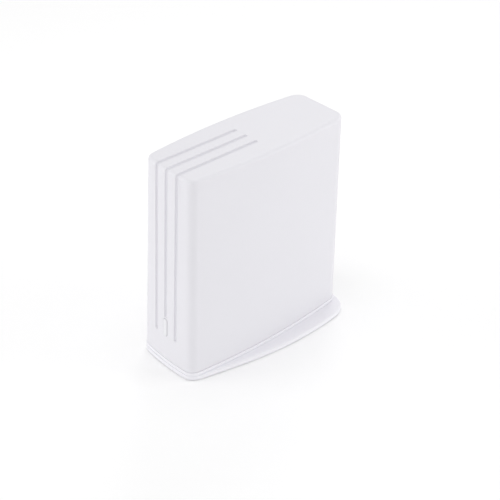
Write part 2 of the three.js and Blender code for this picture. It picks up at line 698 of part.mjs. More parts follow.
// Small packages: [name, y, z, size along y, size along z, height, finish]
const packages = [
  ["memory_chip_1", -126, 101, 9, 13, 1.1, chipBlack],
  ["memory_chip_2", -126, 123, 9, 13, 1.1, chipBlack],
  ["flash_chip", -92, 146, 12, 9, 1.2, chipBlack],
  ["line_interface_chip", -42, 91, 9, 9, 1, chipBlack],
  ["lan_transformer_1", -38, FIRST_LAN_AT, 10, 14, 5.6, chipBlack],
  ["lan_transformer_2", -38, FIRST_LAN_AT + LAN_PITCH, 10, 14, 5.6, chipBlack],
  ["power_inductor_1", -46, 63, 10, 10, 4.8, coreGrey],
  ["power_inductor_2", -60, 63, 10, 10, 4.8, coreGrey],
];
packages.forEach(([name, y, z, alongY, alongZ, height, material]) => {
  const shape = box([FIT, FIT + height], around(y, alongY), around(z, alongZ));
  addPart(boardFrame, name, shape, material);
});

[[-24, 50.5], [-35, 50.5], [-27, 64]].forEach(([y, z], i) => {
  const can = turned([[0, 0], [3.6, 0], [4, 0.4], [4, 11.6], [3.6, 12], [0, 12]], 20);
  can.rotateZ(-Math.PI / 2);
  addPart(boardFrame, `power_capacitor_${i + 1}`, can, tinPlate).position.set(FIT, y, z);
});

// Tuner can behind the coax connector, with a row of vent holes in its lid
const tunerY = [-58, -17];
const tunerZ = [COAX_AT - 10, COAX_AT + 11];
const tunerHeight = 8;
const tunerVents = [-50, -40, -30].map((y) =>
  rod(1.5, [tunerHeight - 1, y, COAX_AT], [tunerHeight + 2, y, COAX_AT], 12),
);
const tunerHollow = box([-1, tunerHeight - 0.6], [tunerY[0] + 0.6, tunerY[1] - 0.6], [
  tunerZ[0] + 0.6,
  tunerZ[1] - 0.6,
]);
addPart(
  boardFrame,
  "tuner_shield",
  cut(box([FIT, tunerHeight], tunerY, tunerZ), tunerHollow, ...tunerVents),
  tinPlate,
);

// ---- Rear panel, with an opening for each socket ----

const socketX = BOARD_FACE_X + FIT + JACK_RISE / 2; // middle of the sockets across the panel
const phonePlaces = [0, 1].map((i) => FIRST_PHONE_AT + i * PHONE_PITCH);
const lanPlaces = [0, 1].map((i) => FIRST_LAN_AT + i * LAN_PITCH);
const powerHalf = 4.8;
const powerRise = 11.4;
const switchHalf = 9;
const switchRise = 13;
const coaxHoleRadius = 5.1;
const pinholeRadius = 1;
const pinholeX = BOARD_FACE_X + 4;

// Opening in the panel round a housing that stands on the board
function portHole(centre, halfWidth, rise) {
  const x = [BOARD_FACE_X, BOARD_FACE_X + FIT + rise + FIT];
  return box(x, [PANEL_BACK - 1, 1], [centre - halfWidth - FIT, centre + halfWidth + FIT]);
}

const panelPlate = box(
  [-PANEL_HALF_WIDTH, PANEL_HALF_WIDTH],
  [PANEL_BACK, -PANEL_SUNK],
  [PANEL_LOW + FIT, PANEL_HIGH - FIT],
);
const panelLip = box(
  [-PANEL_HALF_WIDTH - PANEL_LIP, PANEL_HALF_WIDTH + PANEL_LIP],
  [PANEL_BACK, -COVER_WALL - FIT],
  [PANEL_LOW - PANEL_LIP, PANEL_HIGH + PANEL_LIP],
);
const ventCount = Math.max(0, Math.floor((PANEL_HIGH - 5 - VENT_AT) / VENT_PITCH) + 1);
const vents = Array.from({ length: ventCount }, (_, i) => {
  const low = VENT_AT + i * VENT_PITCH;
  return box([-VENT_WIDTH / 2, VENT_WIDTH / 2], [PANEL_BACK - 1, 1], [low, low + VENT_HEIGHT]);
});
const panelHoles = [
  ...phonePlaces.map((z) => portHole(z, PHONE_JACK_WIDTH / 2, JACK_RISE)),
  ...lanPlaces.map((z) => portHole(z, LAN_JACK_WIDTH / 2, JACK_RISE)),
  portHole(POWER_AT, powerHalf, powerRise),
  portHole(SWITCH_AT, switchHalf, switchRise),
  rod(coaxHoleRadius, [socketX, PANEL_BACK - 1, COAX_AT], [socketX, 1, COAX_AT], 28),
  rod(pinholeRadius, [pinholeX, PANEL_BACK - 1, RESET_AT], [pinholeX, 1, RESET_AT], 12),
];
const panelBlank = join(panelPlate, panelLip);
addPart(rearFrame, "rear_panel", cut(panelBlank, ...panelHoles, ...vents), whitePanel);

// ---- Data and telephone sockets ----

// A socket stands on the board and opens backwards: a cavity, and a notch for the plug's latch
function socketHousing(width, depth, cavityWidth) {
  const shell = box([FIT, FIT + JACK_RISE], [-SOCKET_SUNK - depth, -SOCKET_SUNK], [
    -width / 2,
    width / 2,
  ]);
  const cavityDepth = -SOCKET_SUNK - 15;
  const plugSpace = box([2.4, 9.8], [cavityDepth, 1], [-cavityWidth / 2, cavityWidth / 2]);
  const latchSpace = box([9, 11.6], [cavityDepth, 1], [-3, 3]);
  return cut(shell, plugSpace, latchSpace);
}

// Sprung contact wires that slope forwards and down from a strip at the back of the cavity
function socketContacts(count, cavityWidth) {
  const stripY = [-SOCKET_SUNK - 14.7, -SOCKET_SUNK - 13.4];
  const strip = box([2.4 + FIT, 9.8 - FIT], stripY, [
    FIT - cavityWidth / 2,
    cavityWidth / 2 - FIT,
  ]);
  const pitch = 1.02;
  const reach = 10.5;
  const wires = Array.from({ length: count }, (_, i) => {
    const wire = box([-0.2, 0.2], [-reach, 0], [-0.22, 0.22]).rotateZ(0.14);
    return wire.translate(2.95, stripY[1] - 0.2 + reach, (i - (count - 1) / 2) * pitch);
  });
  return join(strip, ...wires);
}

lanPlaces.forEach((z, i) => {
  const shell = socketHousing(LAN_JACK_WIDTH, LAN_JACK_DEPTH, LAN_CAVITY_WIDTH);
  addPart(boardFrame, `lan_jack_${i + 1}`, shell, jackGrey).position.z = z;
  const wires = socketContacts(8, LAN_CAVITY_WIDTH);
  addPart(boardFrame, `lan_contacts_${i + 1}`, wires, gold).position.z = z;
});
phonePlaces.forEach((z, i) => {
  const shell = socketHousing(PHONE_JACK_WIDTH, PHONE_JACK_DEPTH, PHONE_CAVITY_WIDTH);
  addPart(boardFrame, `phone_jack_${i + 1}`, shell, jackBlack).position.z = z;
  const wires = socketContacts(4, PHONE_CAVITY_WIDTH);
  addPart(boardFrame, `phone_contacts_${i + 1}`, wires, gold).position.z = z;
});

// ---- Power inlet: a barrel socket round a centre pin ----

const barrelRadius = 3;
const barrelX = 6.2;
const barrelDeep = -SOCKET_SUNK - 10;
const inletShell = box([FIT, FIT + powerRise], [-SOCKET_SUNK - 14, -SOCKET_SUNK], [
  -powerHalf,
  powerHalf,
]);
const barrelBore = rod(barrelRadius, [barrelX, barrelDeep, 0], [barrelX, 1, 0], 24);
const pinBore = rod(1.5, [barrelX, barrelDeep - 3, 0], [barrelX, barrelDeep + 1, 0], 12);
const inlet = cut(inletShell, barrelBore, pinBore);
addPart(boardFrame, "power_inlet", inlet, jackBlack).position.z = POWER_AT;
const inletPin = turned(
  [[0, 0], [1.2, 0], [1.2, 2.6], [1, 2.6], [1, 11], [0.6, 11.6], [0, 11.6]],
  16,
).translate(barrelX, barrelDeep - 2.7, 0);
addPart(boardFrame, "power_inlet_pin", inletPin, nickel).position.z = POWER_AT;

// ---- Power switch: a rocker on two pivots ----

const switchMiddleX = FIT + switchRise / 2;
const rockerHalfWidth = 4.2;
const rockerHalfLength = 6.2;
const pivotY = -SOCKET_SUNK - 3.4;
const pivotRadius = 1.1;
const rockerSide = 0.8; // room at each end of the rocker as it tips
const switchShell = box([FIT, FIT + switchRise], [-SOCKET_SUNK - 15, -SOCKET_SUNK], [
  -switchHalf,
  switchHalf,
]);
const rockerWell = box(
  around(switchMiddleX, 2 * (rockerHalfWidth + FIT)),
  [pivotY - 5.4, 1],
  [-rockerHalfLength - rockerSide, rockerHalfLength + rockerSide],
);
const pivotReach = rockerHalfWidth + 1;
const pivotSeat = rod(
  pivotRadius + FIT,
  [switchMiddleX - pivotReach - FIT, pivotY, 0],
  [switchMiddleX + pivotReach + FIT, pivotY, 0],
  16,
);
const switchBody = cut(switchShell, rockerWell, pivotSeat);
addPart(boardFrame, "power_switch_body", switchBody, jackBlack).position.z = SWITCH_AT;

const rockerProfile = new THREE.Shape([
  [-1.6, -4.5],
  [1.6, -4.5],
  [rockerHalfLength, -1.2],
  [rockerHalfLength, 4.6],
  [0, 3.4],
  [-rockerHalfLength, 4.6],
  [-rockerHalfLength, -1.2],
].map(([z, y]) => new THREE.Vector2(z, y)));
const rockerBlock = new THREE.ExtrudeGeometry(rockerProfile, {
  depth: 2 * rockerHalfWidth,
  bevelEnabled: false,
})
  .translate(0, 0, -rockerHalfWidth)
  .rotateY(-Math.PI / 2);
const rockerPivot = rod(pivotRadius, [-pivotReach, 0, 0], [pivotReach, 0, 0], 16);
const rocker = addPart(boardFrame, "power_rocker", join(rockerBlock, rockerPivot), jackBlack);
rocker.position.set(switchMiddleX, pivotY, SWITCH_AT);
rocker.rotation.x = THREE.MathUtils.degToRad(-ROCKER_TILT);

// ---- Reset button, reached with a pin through the hole in the panel ----

const resetX = pinholeX - BOARD_FACE_X;
const resetFace = -9;
const plungerDepth = 3.4;
const resetShell = box([FIT, FIT + 7], [resetFace - 6, resetFace], [-3, 3]);
const plungerEnd = resetFace - plungerDepth;
const resetBoreEnd = plungerEnd - RESET_TRAVEL - FIT;
const resetBore = rod(1.5, [resetX, resetBoreEnd, 0], [resetX, 0, 0], 16);
addPart(boardFrame, "reset_switch_body", cut(resetShell, resetBore), chipBlack).position.z =
  RESET_AT;
const plunger = rod(1.2, [resetX, plungerEnd, 0], [resetX, resetFace + 2.4, 0], 16);
addPart(boardFrame, "reset_plunger", plunger, innerPlastic).position.z = RESET_AT;

// ---- Coax connector: threaded barrel, nut, insulator and spring contact ----

const coaxRadius = 4.75;
const coaxBore = 3.1;
const coaxBack = tunerY[1] + FIT;
const coaxShoulder = PANEL_BACK - FIT;
const coaxBody = turned(
  [
    [0, coaxBack],
    [5.6, coaxBack],
    [5.6, coaxShoulder],
    [coaxRadius, coaxShoulder],
    [coaxRadius, COAX_REACH - 0.5],
    [coaxRadius - 0.5, COAX_REACH],
    [coaxBore, COAX_REACH],
    [coaxBore, -8],
    [0, -8],
  ],
  28,
);
addPart(rearFrame, "coax_connector", coaxBody, nickel).position.set(socketX, 0, COAX_AT);

const coaxInsulator = turned(
  [
    [1, -8 + FIT],
    [coaxBore - FIT, -8 + FIT],
    [coaxBore - FIT, COAX_REACH - 1],
    [1, COAX_REACH - 1],
    [1, -8 + FIT],
  ],
  24,
);
addPart(rearFrame, "coax_insulator", coaxInsulator, ptfe).position.set(socketX, 0, COAX_AT);
const coaxContact = rod(0.6, [0, -8 + FIT, 0], [0, COAX_REACH - 2, 0], 12);
addPart(rearFrame, "coax_contact", coaxContact, gold).position.set(socketX, 0, COAX_AT);

const nutRadius = 6.6;
const nutLow = -PANEL_SUNK + FIT;
const nutBlank = new THREE.CylinderGeometry(nutRadius, nutRadius, 2.4, 6);
nutBlank.translate(0, nutLow + 1.2, 0);
const nutBore = rod(coaxRadius + FIT, [0, -4, 0], [0, 6, 0], 28);
const nut = addPart(rearFrame, "coax_nut", cut(nutBlank, nutBore), nickel);
nut.position.set(socketX, 0, COAX_AT);

// ---- Status lights and the light guide behind the bar in the front face ----

const barMiddle = middleOf(barZ) - SEAM_Z;
const ledCount = 4;
const ledPitch = 5;
const ledFront = BOARD_FRONT - 0.4;
for (let i = 0; i < ledCount; i += 1) {
  const led = box([FIT, FIT + 1.8], [ledFront, ledFront + 2], [-1.5, 1.5]);
  const z = barMiddle + (i - (ledCount - 1) / 2) * ledPitch;
  addPart(boardFrame, `status_led_${i + 1}`, led, ledClear).position.z = z;
}

// The guide's blade shows in the slot, and its wide end catches the light at the board's edge.
const guideEnd =
  BODY_LENGTH + ledFront - (FRONT_LEAN - REAR_LEAN) * (barMiddle + BAR_LENGTH) - 1;
const guideZ = barZ.map((z) => z - SEAM_Z);
const guideBlade = uprightBar(BAR_WIDTH, guideZ, [-BAR_PROUD, guideEnd - 1]);
const guideFoot = box([BOARD_FACE_X + FIT, BAR_WIDTH / 2], [guideEnd - 4, guideEnd], [
  barZ[0] - SEAM_Z + 1,
  barZ[1] - SEAM_Z - 1,
]);
addPart(frontFrame, "light_guide", join(guideBlade, guideFoot), lightPlastic);

export default modem;
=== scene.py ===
import math

import bmesh
import bpy
import numpy as np
from mathutils import Matrix, Vector


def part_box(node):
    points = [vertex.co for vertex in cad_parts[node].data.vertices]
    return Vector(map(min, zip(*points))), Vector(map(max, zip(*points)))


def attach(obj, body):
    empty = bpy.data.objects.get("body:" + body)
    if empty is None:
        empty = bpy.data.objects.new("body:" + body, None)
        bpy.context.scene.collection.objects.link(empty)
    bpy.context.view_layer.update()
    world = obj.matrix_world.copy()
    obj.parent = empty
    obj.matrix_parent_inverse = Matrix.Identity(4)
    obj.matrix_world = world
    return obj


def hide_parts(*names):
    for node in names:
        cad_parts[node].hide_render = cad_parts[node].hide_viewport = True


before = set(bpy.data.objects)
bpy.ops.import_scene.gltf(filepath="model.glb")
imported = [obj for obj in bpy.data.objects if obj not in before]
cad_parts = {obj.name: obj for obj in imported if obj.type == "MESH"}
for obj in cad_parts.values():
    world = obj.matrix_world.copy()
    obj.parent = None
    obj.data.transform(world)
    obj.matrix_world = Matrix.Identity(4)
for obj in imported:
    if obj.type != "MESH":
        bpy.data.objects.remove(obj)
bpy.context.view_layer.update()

# ---- Cover ----
# The white one-piece cover: matt ABS moulded over a core, 2.4 mm thick and open underneath.
# It is drawn off upwards, so it narrows as it rises; three round-bottomed grooves run up the
# front and over the top, and the back has a window for the socket panel.

MM = 0.001
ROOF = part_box("housing_cover")[1].z / MM
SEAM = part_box("foot")[1].z / MM + 0.5
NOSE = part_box("housing_cover")[0].y / MM
LENGTH = 202.4
FRONT_HALF, MIDDLE_HALF, REAR_HALF = 37.0, 44.1, 36.5
FRONT_BOW = 2.75
FRONT_CORNER, REAR_CORNER = 7.3, 11.7
DRAFT = 0.0005
FRONT_LEAN, REAR_LEAN = 0.0547, 0.021
WALL = 2.4
TOP_ROUND = 3.8
GROOVE_PITCH = 14.5
GROOVE_RADIUS = 1.95
GROOVE_SUNK = 0.25
GROOVE_LIP = 0.5
GROOVE_BACK = NOSE + 105.8
BAR_HALF = 2.6
BAR_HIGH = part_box("light_guide")[1].z / MM
BAR_LOW = BAR_HIGH - 20
BAR_PROUD = 0.8
OUTER_GROOVE_LOW = 38.8
MIDDLE_GROOVE_LOW = 60.2
WINDOW_HALF = 18.3
WINDOW_LOW, WINDOW_HIGH = SEAM + 9.0, SEAM + 194.3
WINDOW_LIP = 0.3


class Flow:
    """A value running through a finish's nodes; a sum on it adds the Math nodes."""

    def __init__(self, finish, socket):
        self.finish = finish
        self.socket = socket

    def _sum(self, operation, first, second):
        return self.finish.node("Math", {"operation": operation}, {0: first, 1: second})

    def __add__(self, other):
        return self._sum("ADD", self, other)

    def __radd__(self, other):
        return self._sum("ADD", other, self)

    def __sub__(self, other):
        return self._sum("SUBTRACT", self, other)

    def __rsub__(self, other):
        return self._sum("SUBTRACT", other, self)

    def __mul__(self, other):
        return self._sum("MULTIPLY", self, other)

    def __rmul__(self, other):
        return self._sum("MULTIPLY", other, self)


class Finish:
    """One procedural finish: a node tree round a single surface shader."""

    def __init__(self, name, **uniform):
        self.material = bpy.data.materials.new(name)
        self.material.use_nodes = True
        self.tree = self.material.node_tree
        self.shader = self.tree.nodes["Principled BSDF"]
        self.place = self.node("TexCoord", out="Object")
        for socket, value in uniform.items():
            self.shader.inputs[socket.replace("_", " ")].default_value = value

    def node(self, kind, settings=None, sockets=None, out=0):
        made = self.tree.nodes.new("ShaderNode" + kind)
        for name, value in (settings or {}).items():
            setattr(made, name, value)
        for name, value in (sockets or {}).items():
            self.put(made.inputs[name], value)
        return Flow(self, made.outputs[out])

    def put(self, socket, value):
        if isinstance(value, Flow):
            self.tree.links.new(value.socket, socket)
        else:
            socket.default_value = value

    def noise(self, size, detail=2.0, roughness=0.5, place=None):
        """Cloudy variation whose patches are about this many millimetres across."""
        sockets = {"Scale": 1 / (size * MM), "Detail": detail, "Roughness": roughness}
        sockets["Vector"] = place or self.place
        return self.node("TexNoise", {}, sockets)

    def cells(self, size):
        """Distance from the middle of a cell, for pits about this many millimetres across."""
        return self.node("TexVoronoi", {}, {"Scale": 1 / (size * MM), "Vector": self.place})

    def blend(self, share, low, high):
        """A mix of two colours; a Mix node's colours are its sockets 6 and 7 and its output 2."""
        return self.node("Mix", {"data_type": "RGBA"}, {"Factor": share, 6: low, 7: high}, 2)

    def stretched(self, x, y, z):
        """Texture places drawn out along an axis, for turned or brushed marks."""
        settings = {"operation": "MULTIPLY"}
        return self.node("VectorMath", settings, {0: self.place, 1: (x, y, z)})

    def surface(self, colour, roughness, height=None, depth=0.01, **others):
        """Joins colour, roughness and a relief of this depth in millimetres to the shader."""
        self.put(self.shader.inputs["Base Color"], colour)
        self.put(self.shader.inputs["Roughness"], roughness)
        if height is not None:
            bump = {"Height": height, "Distance": depth * MM, "Strength": 1.0}
            self.put(self.shader.inputs["Normal"], self.node("Bump", {}, bump))
        for name, value in others.items():
            self.put(self.shader.inputs[name.replace("_", " ")], value)


def shade(*rgb):
    """A colour named by its screen values, 0 to 255, as the shader's linear light."""
    def linear(value):
        share = value / 255
        return share / 12.92 if share <= 0.04045 else ((share + 0.055) / 1.055) ** 2.4
    return (*(linear(value) for value in rgb), 1)


def moulded(name, low, high, roughness, grain=0.35, depth=0.01, **uniform):
    """Moulded plastic: spark-eroded grain, faint flow clouds and uneven sheen."""
    finish = Finish(name, **uniform)
    clouds = finish.noise(60, 3)
    mottle = finish.noise(5, 4, 0.6)
    grit = finish.noise(grain, 2, 0.6)
    pits = finish.cells(grain * 1.7)
    share = clouds * 0.55 + mottle * 0.35 + grit * 0.1
    colour = finish.blend(share, low, high)
    sheen = roughness + (mottle - 0.5) * 0.1 + (grit - 0.5) * 0.12
    finish.surface(colour, sheen, grit * 0.6 + pits * 0.4, depth)
    return finish


def piece(name, points, faces, finish, slot, body="case", stands_for=(), crease=40):
    """A finished piece from points in millimetres. Edges sharper than crease stay sharp."""
    mesh = bpy.data.meshes.new(name)
    mesh.from_pydata([tuple(float(c) * MM for c in point) for point in points], [], faces)
    made = bpy.data.objects.new(name, mesh)
    bpy.context.scene.collection.objects.link(made)
    return dress(made, finish, body, stands_for, crease)


def dress(made, finish, body, stands_for, crease):
    mesh = made.data
    work = bmesh.new()
    work.from_mesh(mesh)
    bmesh.ops.remove_doubles(work, verts=work.verts, dist=1e-7)
    bmesh.ops.recalc_face_normals(work, faces=work.faces)
    for face in work.faces:
        face.smooth = True
    for edge in work.edges:
        edge.smooth = len(edge.link_faces) == 2 and edge.calc_face_angle(0) < math.radians(crease)
    work.to_mesh(mesh)
    work.free()
    mesh.materials.clear()
    mesh.materials.append(finish.material)
    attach(made, body)
    if stands_for:
        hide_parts(*stands_for)
    return made


def loft(rings, closed_low=False, closed_high=False):
    """Points and faces of a tube through equal rings, with flat ends where they are closed."""
    count = len(rings[0])
    points = [point for ring in rings for point in ring]
    faces = []
    for level in range(len(rings) - 1):
        low, high = level * count, (level + 1) * count
        for i in range(count):
            j = (i + 1) % count
            faces.append((low + i, low + j, high + j, high + i))
    if closed_low:
        faces.append(tuple(range(count)))
    if closed_high:
        faces.append(tuple(range(len(points) - count, len(points))))
    return points, faces


def cut_away(made, points, faces):
    """Cuts a closed tool, given in millimetres, out of a piece."""
    mesh = bpy.data.meshes.new("tool")
    mesh.from_pydata([tuple(float(c) * MM for c in point) for point in points], [], faces)
    work = bmesh.new()
    work.from_mesh(mesh)
    bmesh.ops.recalc_face_normals(work, faces=work.faces)
    work.to_mesh(mesh)
    work.free()
    tool = bpy.data.objects.new("tool", mesh)
    bpy.context.scene.collection.objects.link(tool)
    modifier = made.modifiers.new("cut", "BOOLEAN")
    modifier.operation = "DIFFERENCE"
    modifier.solver = "EXACT"
    modifier.object = tool
    bpy.context.view_layer.update()
    graph = bpy.context.evaluated_depsgraph_get()
    result = bpy.data.meshes.new_from_object(made.evaluated_get(graph))
    made.modifiers.clear()
    old = made.data
    made.data = result
    bpy.data.meshes.remove(old)
    bpy.data.objects.remove(tool)
    bpy.data.meshes.remove(mesh)
    return made


def bezier(ends, share):
    """Points on a quadratic or cubic curve, with its direction, at the given shares."""
    level = [np.array(end, float)[None, :] for end in ends]
    share = np.asarray(share, float)[:, None]
    while len(level) > 2:
        level = [a + (b - a) * share for a, b in zip(level, level[1:])]
    return level[0] + (level[1] - level[0]) * share, level[1] - level[0]


def half_width(share):
    near_front = FRONT_HALF * (1 - share) * (1 - 2 * share)
    near_middle = MIDDLE_HALF * 4 * share * (1 - share)
    return near_front + near_middle + REAR_HALF * share * (2 * share - 1)


FRONT_FLAT = FRONT_HALF - FRONT_CORNER
REAR_FLAT = REAR_HALF - REAR_CORNER
SIDE_FRONT = FRONT_BOW + FRONT_CORNER
SIDE_REAR = LENGTH - REAR_CORNER


def bow(x):
    return FRONT_BOW * (x / FRONT_HALF) ** 2


def right_side(front_x, corner_steps, side_y, rear_steps):
    """Plan points and outward directions from the front edge to the back, down the right side."""
    quarter = 0.5523
    front_width, rear_width = half_width(SIDE_FRONT / LENGTH), half_width(SIDE_REAR / LENGTH)
    step = 1e-4
    slope = (half_width(SIDE_FRONT / LENGTH + step) - front_width) / step
    bulge = front_width + slope * (SIDE_REAR - SIDE_FRONT) / LENGTH / 2
    drift = slope * FRONT_CORNER / LENGTH * quarter
    corner = [
        (FRONT_FLAT, bow(FRONT_FLAT)),
        (FRONT_FLAT + quarter * FRONT_CORNER, bow(FRONT_FLAT) + 0.2 * FRONT_BOW),
        (front_width - drift, SIDE_FRONT - quarter * FRONT_CORNER),
        (front_width, SIDE_FRONT),
    ]
    middle_y = (SIDE_FRONT + SIDE_REAR) / 2
    side = [(front_width, SIDE_FRONT), (bulge, middle_y), (rear_width, SIDE_REAR)]
    rear = [
        (rear_width, SIDE_REAR),
        (REAR_HALF, SIDE_REAR + quarter * REAR_CORNER),
        (REAR_FLAT + quarter * REAR_CORNER, LENGTH),
        (REAR_FLAT, LENGTH),
    ]
    flat = np.array(front_x, float)
    slopes = np.stack([np.ones_like(flat), 2 * bow(flat) / flat], 1)
    runs = [(np.stack([flat, bow(flat)], 1), slopes)]
    runs.append(bezier(corner, np.linspace(0, 1, corner_steps + 1)[:-1]))
    shares = (np.array(side_y, float) - SIDE_FRONT) / (SIDE_REAR - SIDE_FRONT)
    runs.append(bezier(side, shares))
    runs.append(bezier(rear, np.linspace(0, 1, rear_steps + 1)))
    places = np.concatenate([run[0] for run in runs])
    along = np.concatenate([run[1] for run in runs])
    along /= np.linalg.norm(along, axis=1)[:, None]
    return places, np.stack([along[:, 1], -along[:, 0]], 1)


def lip(distance, radius):
    """Depth of a rounded edge at a distance outside the hole's own edge."""
    inside = np.clip(radius - distance, 0, radius)
    return radius - np.sqrt(radius**2 - inside**2)


def around_groove():
    """Distances from a groove's centre line at which its section is drawn."""
    mouth = math.sqrt(GROOVE_RADIUS**2 - GROOVE_SUNK**2)
    hollow = [mouth * math.sin(math.radians(a)) for a in (0, 18, 36, 52, 66, 76, 84)]
    edge = [mouth + GROOVE_LIP * share for share in (0.01, 0.06, 0.18, 0.4, 0.7, 1)]
    return hollow + [mouth - 0.008] + edge


def groove_depth(distance):
    mouth = math.sqrt(GROOVE_RADIUS**2 - GROOVE_SUNK**2)
    inner = np.clip(distance, 0, mouth)
    hollow = GROOVE_SUNK + np.sqrt(GROOVE_RADIUS**2 - inner**2)
    return np.where(distance < mouth, hollow, lip(distance - mouth, GROOVE_LIP))


section = around_groove()
half_columns = sorted(
    {round(r, 4) for r in section}
    | {round(GROOVE_PITCH + side * r, 4) for r in section for side in (-1, 1)}
    | {4.5, 7.2, 9.9, 17.3, 18.1, 18.25, 18.35, 18.45, 18.6}
)
columns = np.array([-x for x in half_columns[:0:-1]] + half_columns)
rise = ROOF - SEAM
crowding = 1 + rise * (REAR_LEAN - FRONT_LEAN) / LENGTH
back_rows = [(GROOVE_BACK - NOSE + r - rise * FRONT_LEAN) / crowding for r in [-4, *section]]
side_rows = sorted([*np.arange(SIDE_FRONT, 90, 8), *np.arange(120, SIDE_REAR - 4, 9), *back_rows, 114])
side_places, side_out = right_side([20.4, 23, 25.6, 28], 12, side_rows, 14)


def cover_ring(z, inset, tilt, sunk):
    """One level of the cover: front left to right, right side, back, left side."""
    rise = z - SEAM
    taper = 1 - DRAFT * rise
    plan_x = columns / taper
    front = np.stack([columns, bow(plan_x) + inset], 1)
    rear = np.stack([columns, np.full_like(columns, LENGTH - inset)], 1)
    right = side_places - inset * side_out
    right = right * [taper, 1]
    left = right[::-1] * [-1, 1]
    ring = np.concatenate([front, right, rear[::-1], left])
    share = ring[:, 1] / LENGTH
    lean = FRONT_LEAN * (1 - share) + REAR_LEAN * share
    placed = np.stack([ring[:, 0], NOSE + ring[:, 1] + rise * lean, np.full(len(ring), z)], 1)
    if sunk:
        depth = np.zeros(len(columns))
        for x, low in groove_lines:
            depth = np.maximum(depth, groove_depth(np.hypot(columns - x, max(0, low - z))))
        placed[: len(columns), 1] += depth * math.cos(tilt)
        placed[: len(columns), 2] -= depth * math.sin(tilt)
        beside = np.abs(columns[::-1]) - WINDOW_HALF
        above = max(WINDOW_LOW - z, z - WINDOW_HIGH)
        rim = np.maximum(beside, above)
        start = len(columns) + len(side_places)
        placed[start : start + len(columns), 1] -= lip(np.clip(rim, 0, None), WINDOW_LIP)
    return placed


groove_lines = [
    (-GROOVE_PITCH, OUTER_GROOVE_LOW),
    (0, MIDDLE_GROOVE_LOW),
    (GROOVE_PITCH, OUTER_GROOVE_LOW),
]
rim_steps = (-0.05, 0.05, 0.12, 0.2, 0.3)
levels = sorted(
    {round(low - r, 3) for low in (OUTER_GROOVE_LOW, MIDDLE_GROOVE_LOW) for r in section}
    | {round(WINDOW_LOW - r, 3) for r in rim_steps}
    | {round(WINDOW_HIGH + r, 3) for r in rim_steps}
    | {SEAM + 0.5, 12, 15, 24, 30, 34, 44, 50, 55, 70, 85, 100, 120, 140, 160, 180, 195, 210, 214}
)
rings = [cover_ring(SEAM, inset, 0, False) for inset in (WALL - 0.4, 0.5)]
rings.append(cover_ring(SEAM + 0.15, 0.15, 0, False))
rings += [cover_ring(z, 0, 0, True) for z in levels]
for step in range(9):
    tilt = math.radians(step * 90 / 8)
    z = ROOF - TOP_ROUND + TOP_ROUND * math.sin(tilt)
    rings.append(cover_ring(z, TOP_ROUND * (1 - math.cos(tilt)), tilt, True))
skin_points, skin_faces = loft(rings)

# The flat top: rows across it join each point of the right side to its mirror on the left.
ring_size = len(rings[0])
top_start = len(skin_points) - ring_size
across, down = len(columns), len(side_places)
right_start, rear_start = across, across + down
left_start = 2 * across + down
top_ring = np.array(skin_points[top_start:])
STRIPS = 6
grid = []
for row in range(down):
    right_at, left_at = right_start + row, ring_size - 1 - row
    y = top_ring[right_at][1]
    middle = np.stack([columns, np.full(across, y), np.full(across, ROOF)], 1)
    for x, _ in groove_lines:
        beyond = max(0, y - GROOVE_BACK)
        middle[:, 2] -= groove_depth(np.hypot(columns - x, beyond)) * (np.abs(columns - x) < 3)
    line = [top_start + left_at]
    edge_left, edge_right = middle[0], middle[-1]
    for k in range(1, STRIPS):
        skin_points.append(top_ring[left_at] + (edge_left - top_ring[left_at]) * k / STRIPS)
        line.append(len(skin_points) - 1)
    for point in middle:
        skin_points.append(point)
        line.append(len(skin_points) - 1)
    for k in range(1, STRIPS):
        skin_points.append(edge_right + (top_ring[right_at] - edge_right) * k / STRIPS)
        line.append(len(skin_points) - 1)
    line.append(top_start + right_at)
    grid.append(line)
for first, second in zip(grid, grid[1:]):
    for k in range(len(first) - 1):
        skin_faces.append((first[k], first[k + 1], second[k + 1], second[k]))
front_line = [top_start + i for i in range(across)]
rear_line = [top_start + rear_start + across - 1 - i for i in range(across)]
for edge_line, row in ((front_line, grid[0]), (rear_line, grid[-1])):
    for i in range(across - 1):
        skin_faces.append((edge_line[i], edge_line[i + 1], row[STRIPS + i + 1], row[STRIPS + i]))
    for k in range(STRIPS):
        skin_faces.append((edge_line[0], row[k + 1], row[k]))
        skin_faces.append((edge_line[-1], row[-1 - k], row[-2 - k]))

# The inside of the wall, closed by the flat inner roof
inner = [cover_ring(SEAM + rise, WALL, 0, False) for rise in (0.4, 40, 100, 160)]
inner.append(cover_ring(ROOF - WALL, WALL, 0, False))
inner_points, inner_faces = loft(inner, closed_high=True)
offset = len(skin_points)
skin_points += inner_points
skin_faces += [tuple(offset + i for i in face) for face in inner_faces]
for i in range(ring_size):
    j = (i + 1) % ring_size
    skin_faces.append((i, j, offset + j, offset + i))

cover_white = moulded("cover_plastic", shade(228, 227, 232), shade(233, 232, 237), 0.46, 0.3, 0.012)
cover = piece(
    "cover_shell", skin_points, skin_faces, cover_white, "cover_plastic",
    stands_for=["housing_cover"],
)


def stadium(half, low, high, y, steps=12):
    """An upright outline with half-round ends, at one depth."""
    arc = [math.pi * k / steps for k in range(steps + 1)]
    upper = [(half * math.cos(a), y, high - half + half * math.sin(a)) for a in arc]
    lower = [(-half * math.cos(a), y, low + half - half * math.sin(a)) for a in arc]
    return upper + lower


BAR_GAP = 0.5
slot_size = (BAR_HALF + BAR_GAP, BAR_LOW - BAR_GAP, BAR_HIGH + BAR_GAP)
bar_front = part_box("light_guide")[0].y / MM
cut_away(cover, *loft([stadium(*slot_size, bar_front + y) for y in (-5, 6)], True, True))


def rear_y(z):
    """Height of the back face at a level, along the lean."""
    return NOSE + LENGTH + REAR_LEAN * (z - SEAM)


